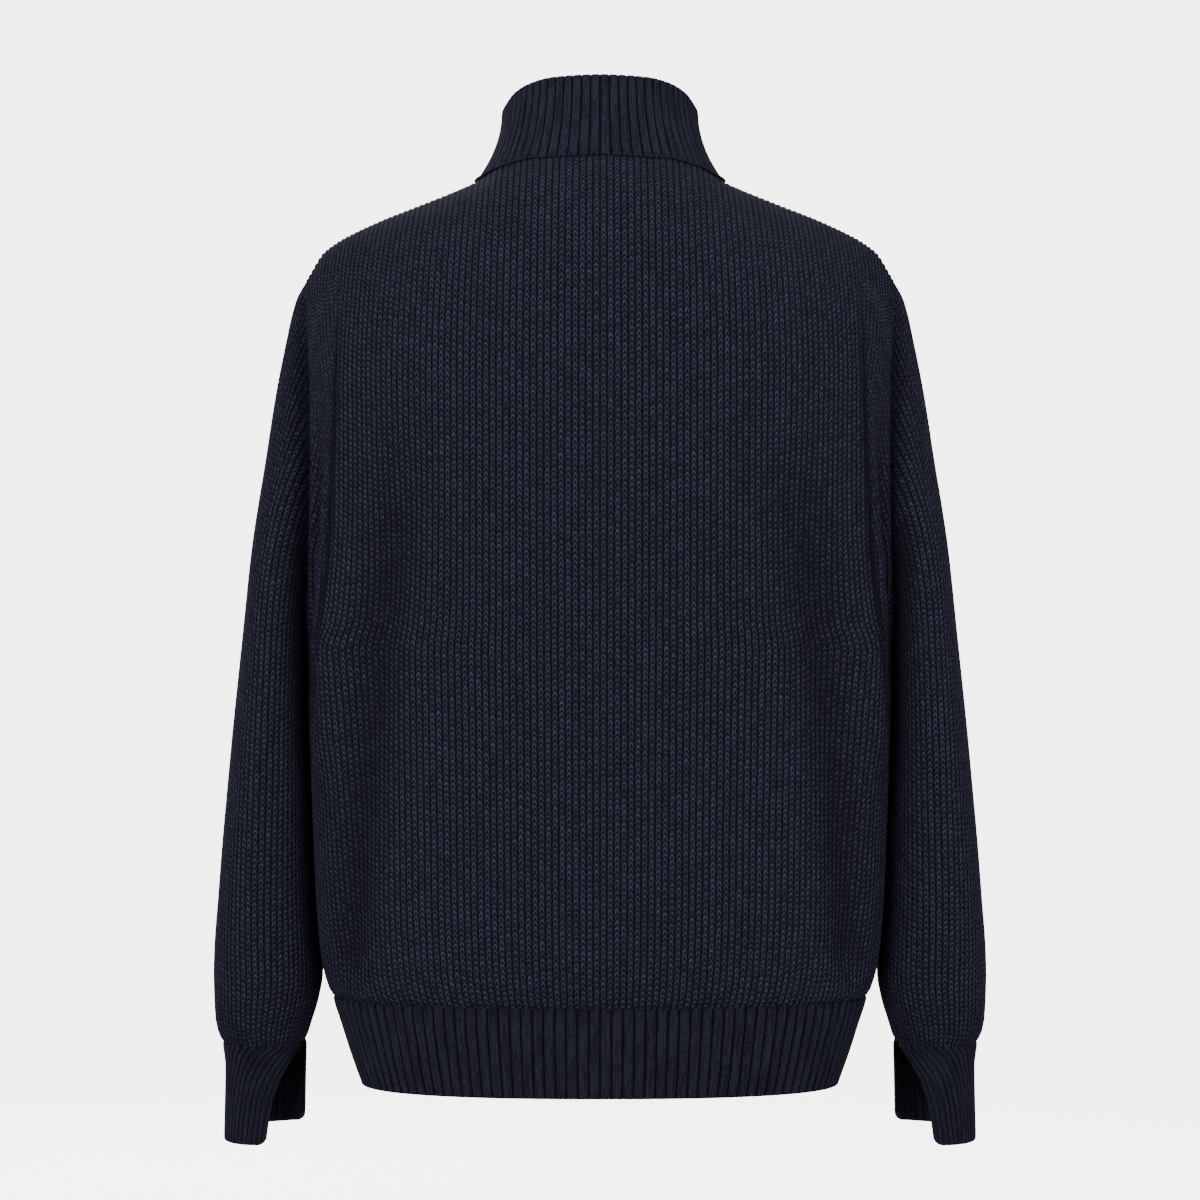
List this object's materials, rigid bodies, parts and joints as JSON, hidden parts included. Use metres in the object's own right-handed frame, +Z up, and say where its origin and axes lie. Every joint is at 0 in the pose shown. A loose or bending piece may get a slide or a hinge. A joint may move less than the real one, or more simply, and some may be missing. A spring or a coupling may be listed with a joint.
{
  "type": "knit bomber jacket",
  "caption": "Zip-front bomber jacket of chunky half-cardigan knit in its worn shape, with drop-shoulder sleeves, a high ribbed collar, a ribbed hem band and split ribbed cuffs.",
  "frame": {"origin": "on the centre plane between the shoulders, level with the neck end of the shoulder seams, where the wearer's shoulders carry the jacket", "axes": "+Z up along the body, -Y to the front where the zip is, +Y to the back, +X to the wearer's left"},
  "size_m": [0.5594, 0.249, 0.7598],
  "materials": {
    "knit": "matt navy half-cardigan knit of thick soft yarn",
    "rib": "matt navy knitted rib",
    "zip_tape": "dark navy woven tape",
    "zip_teeth": "dark satin metal teeth",
    "zip_metal": "dark satin metal"
  },
  "bodies": {
    "jacket": {"back": "knit", "front_left": "knit", "front_right": "knit", "sleeve_left": "knit", "sleeve_right": "knit", "collar": "rib", "hem_band": "rib", "cuff_left": "rib", "cuff_right": "rib", "zip_tape_left": "zip_tape", "zip_tape_right": "zip_tape", "zip_chain": "zip_teeth", "zip_box": "zip_metal", "zip_stop_left": "zip_metal", "zip_stop_right": "zip_metal", "zip_slider": "zip_metal"},
    "pull_tab": {"zip_pull_tab": "zip_metal"}
  },
  "joints": [
    {"name": "pull_tab_swing", "type": "hinge", "parent": "jacket", "child": "pull_tab", "pos_m": [0, -0.07953, -0.01321], "axis": [-1, 0, 0], "range_deg": [0, 150]}
  ]
}
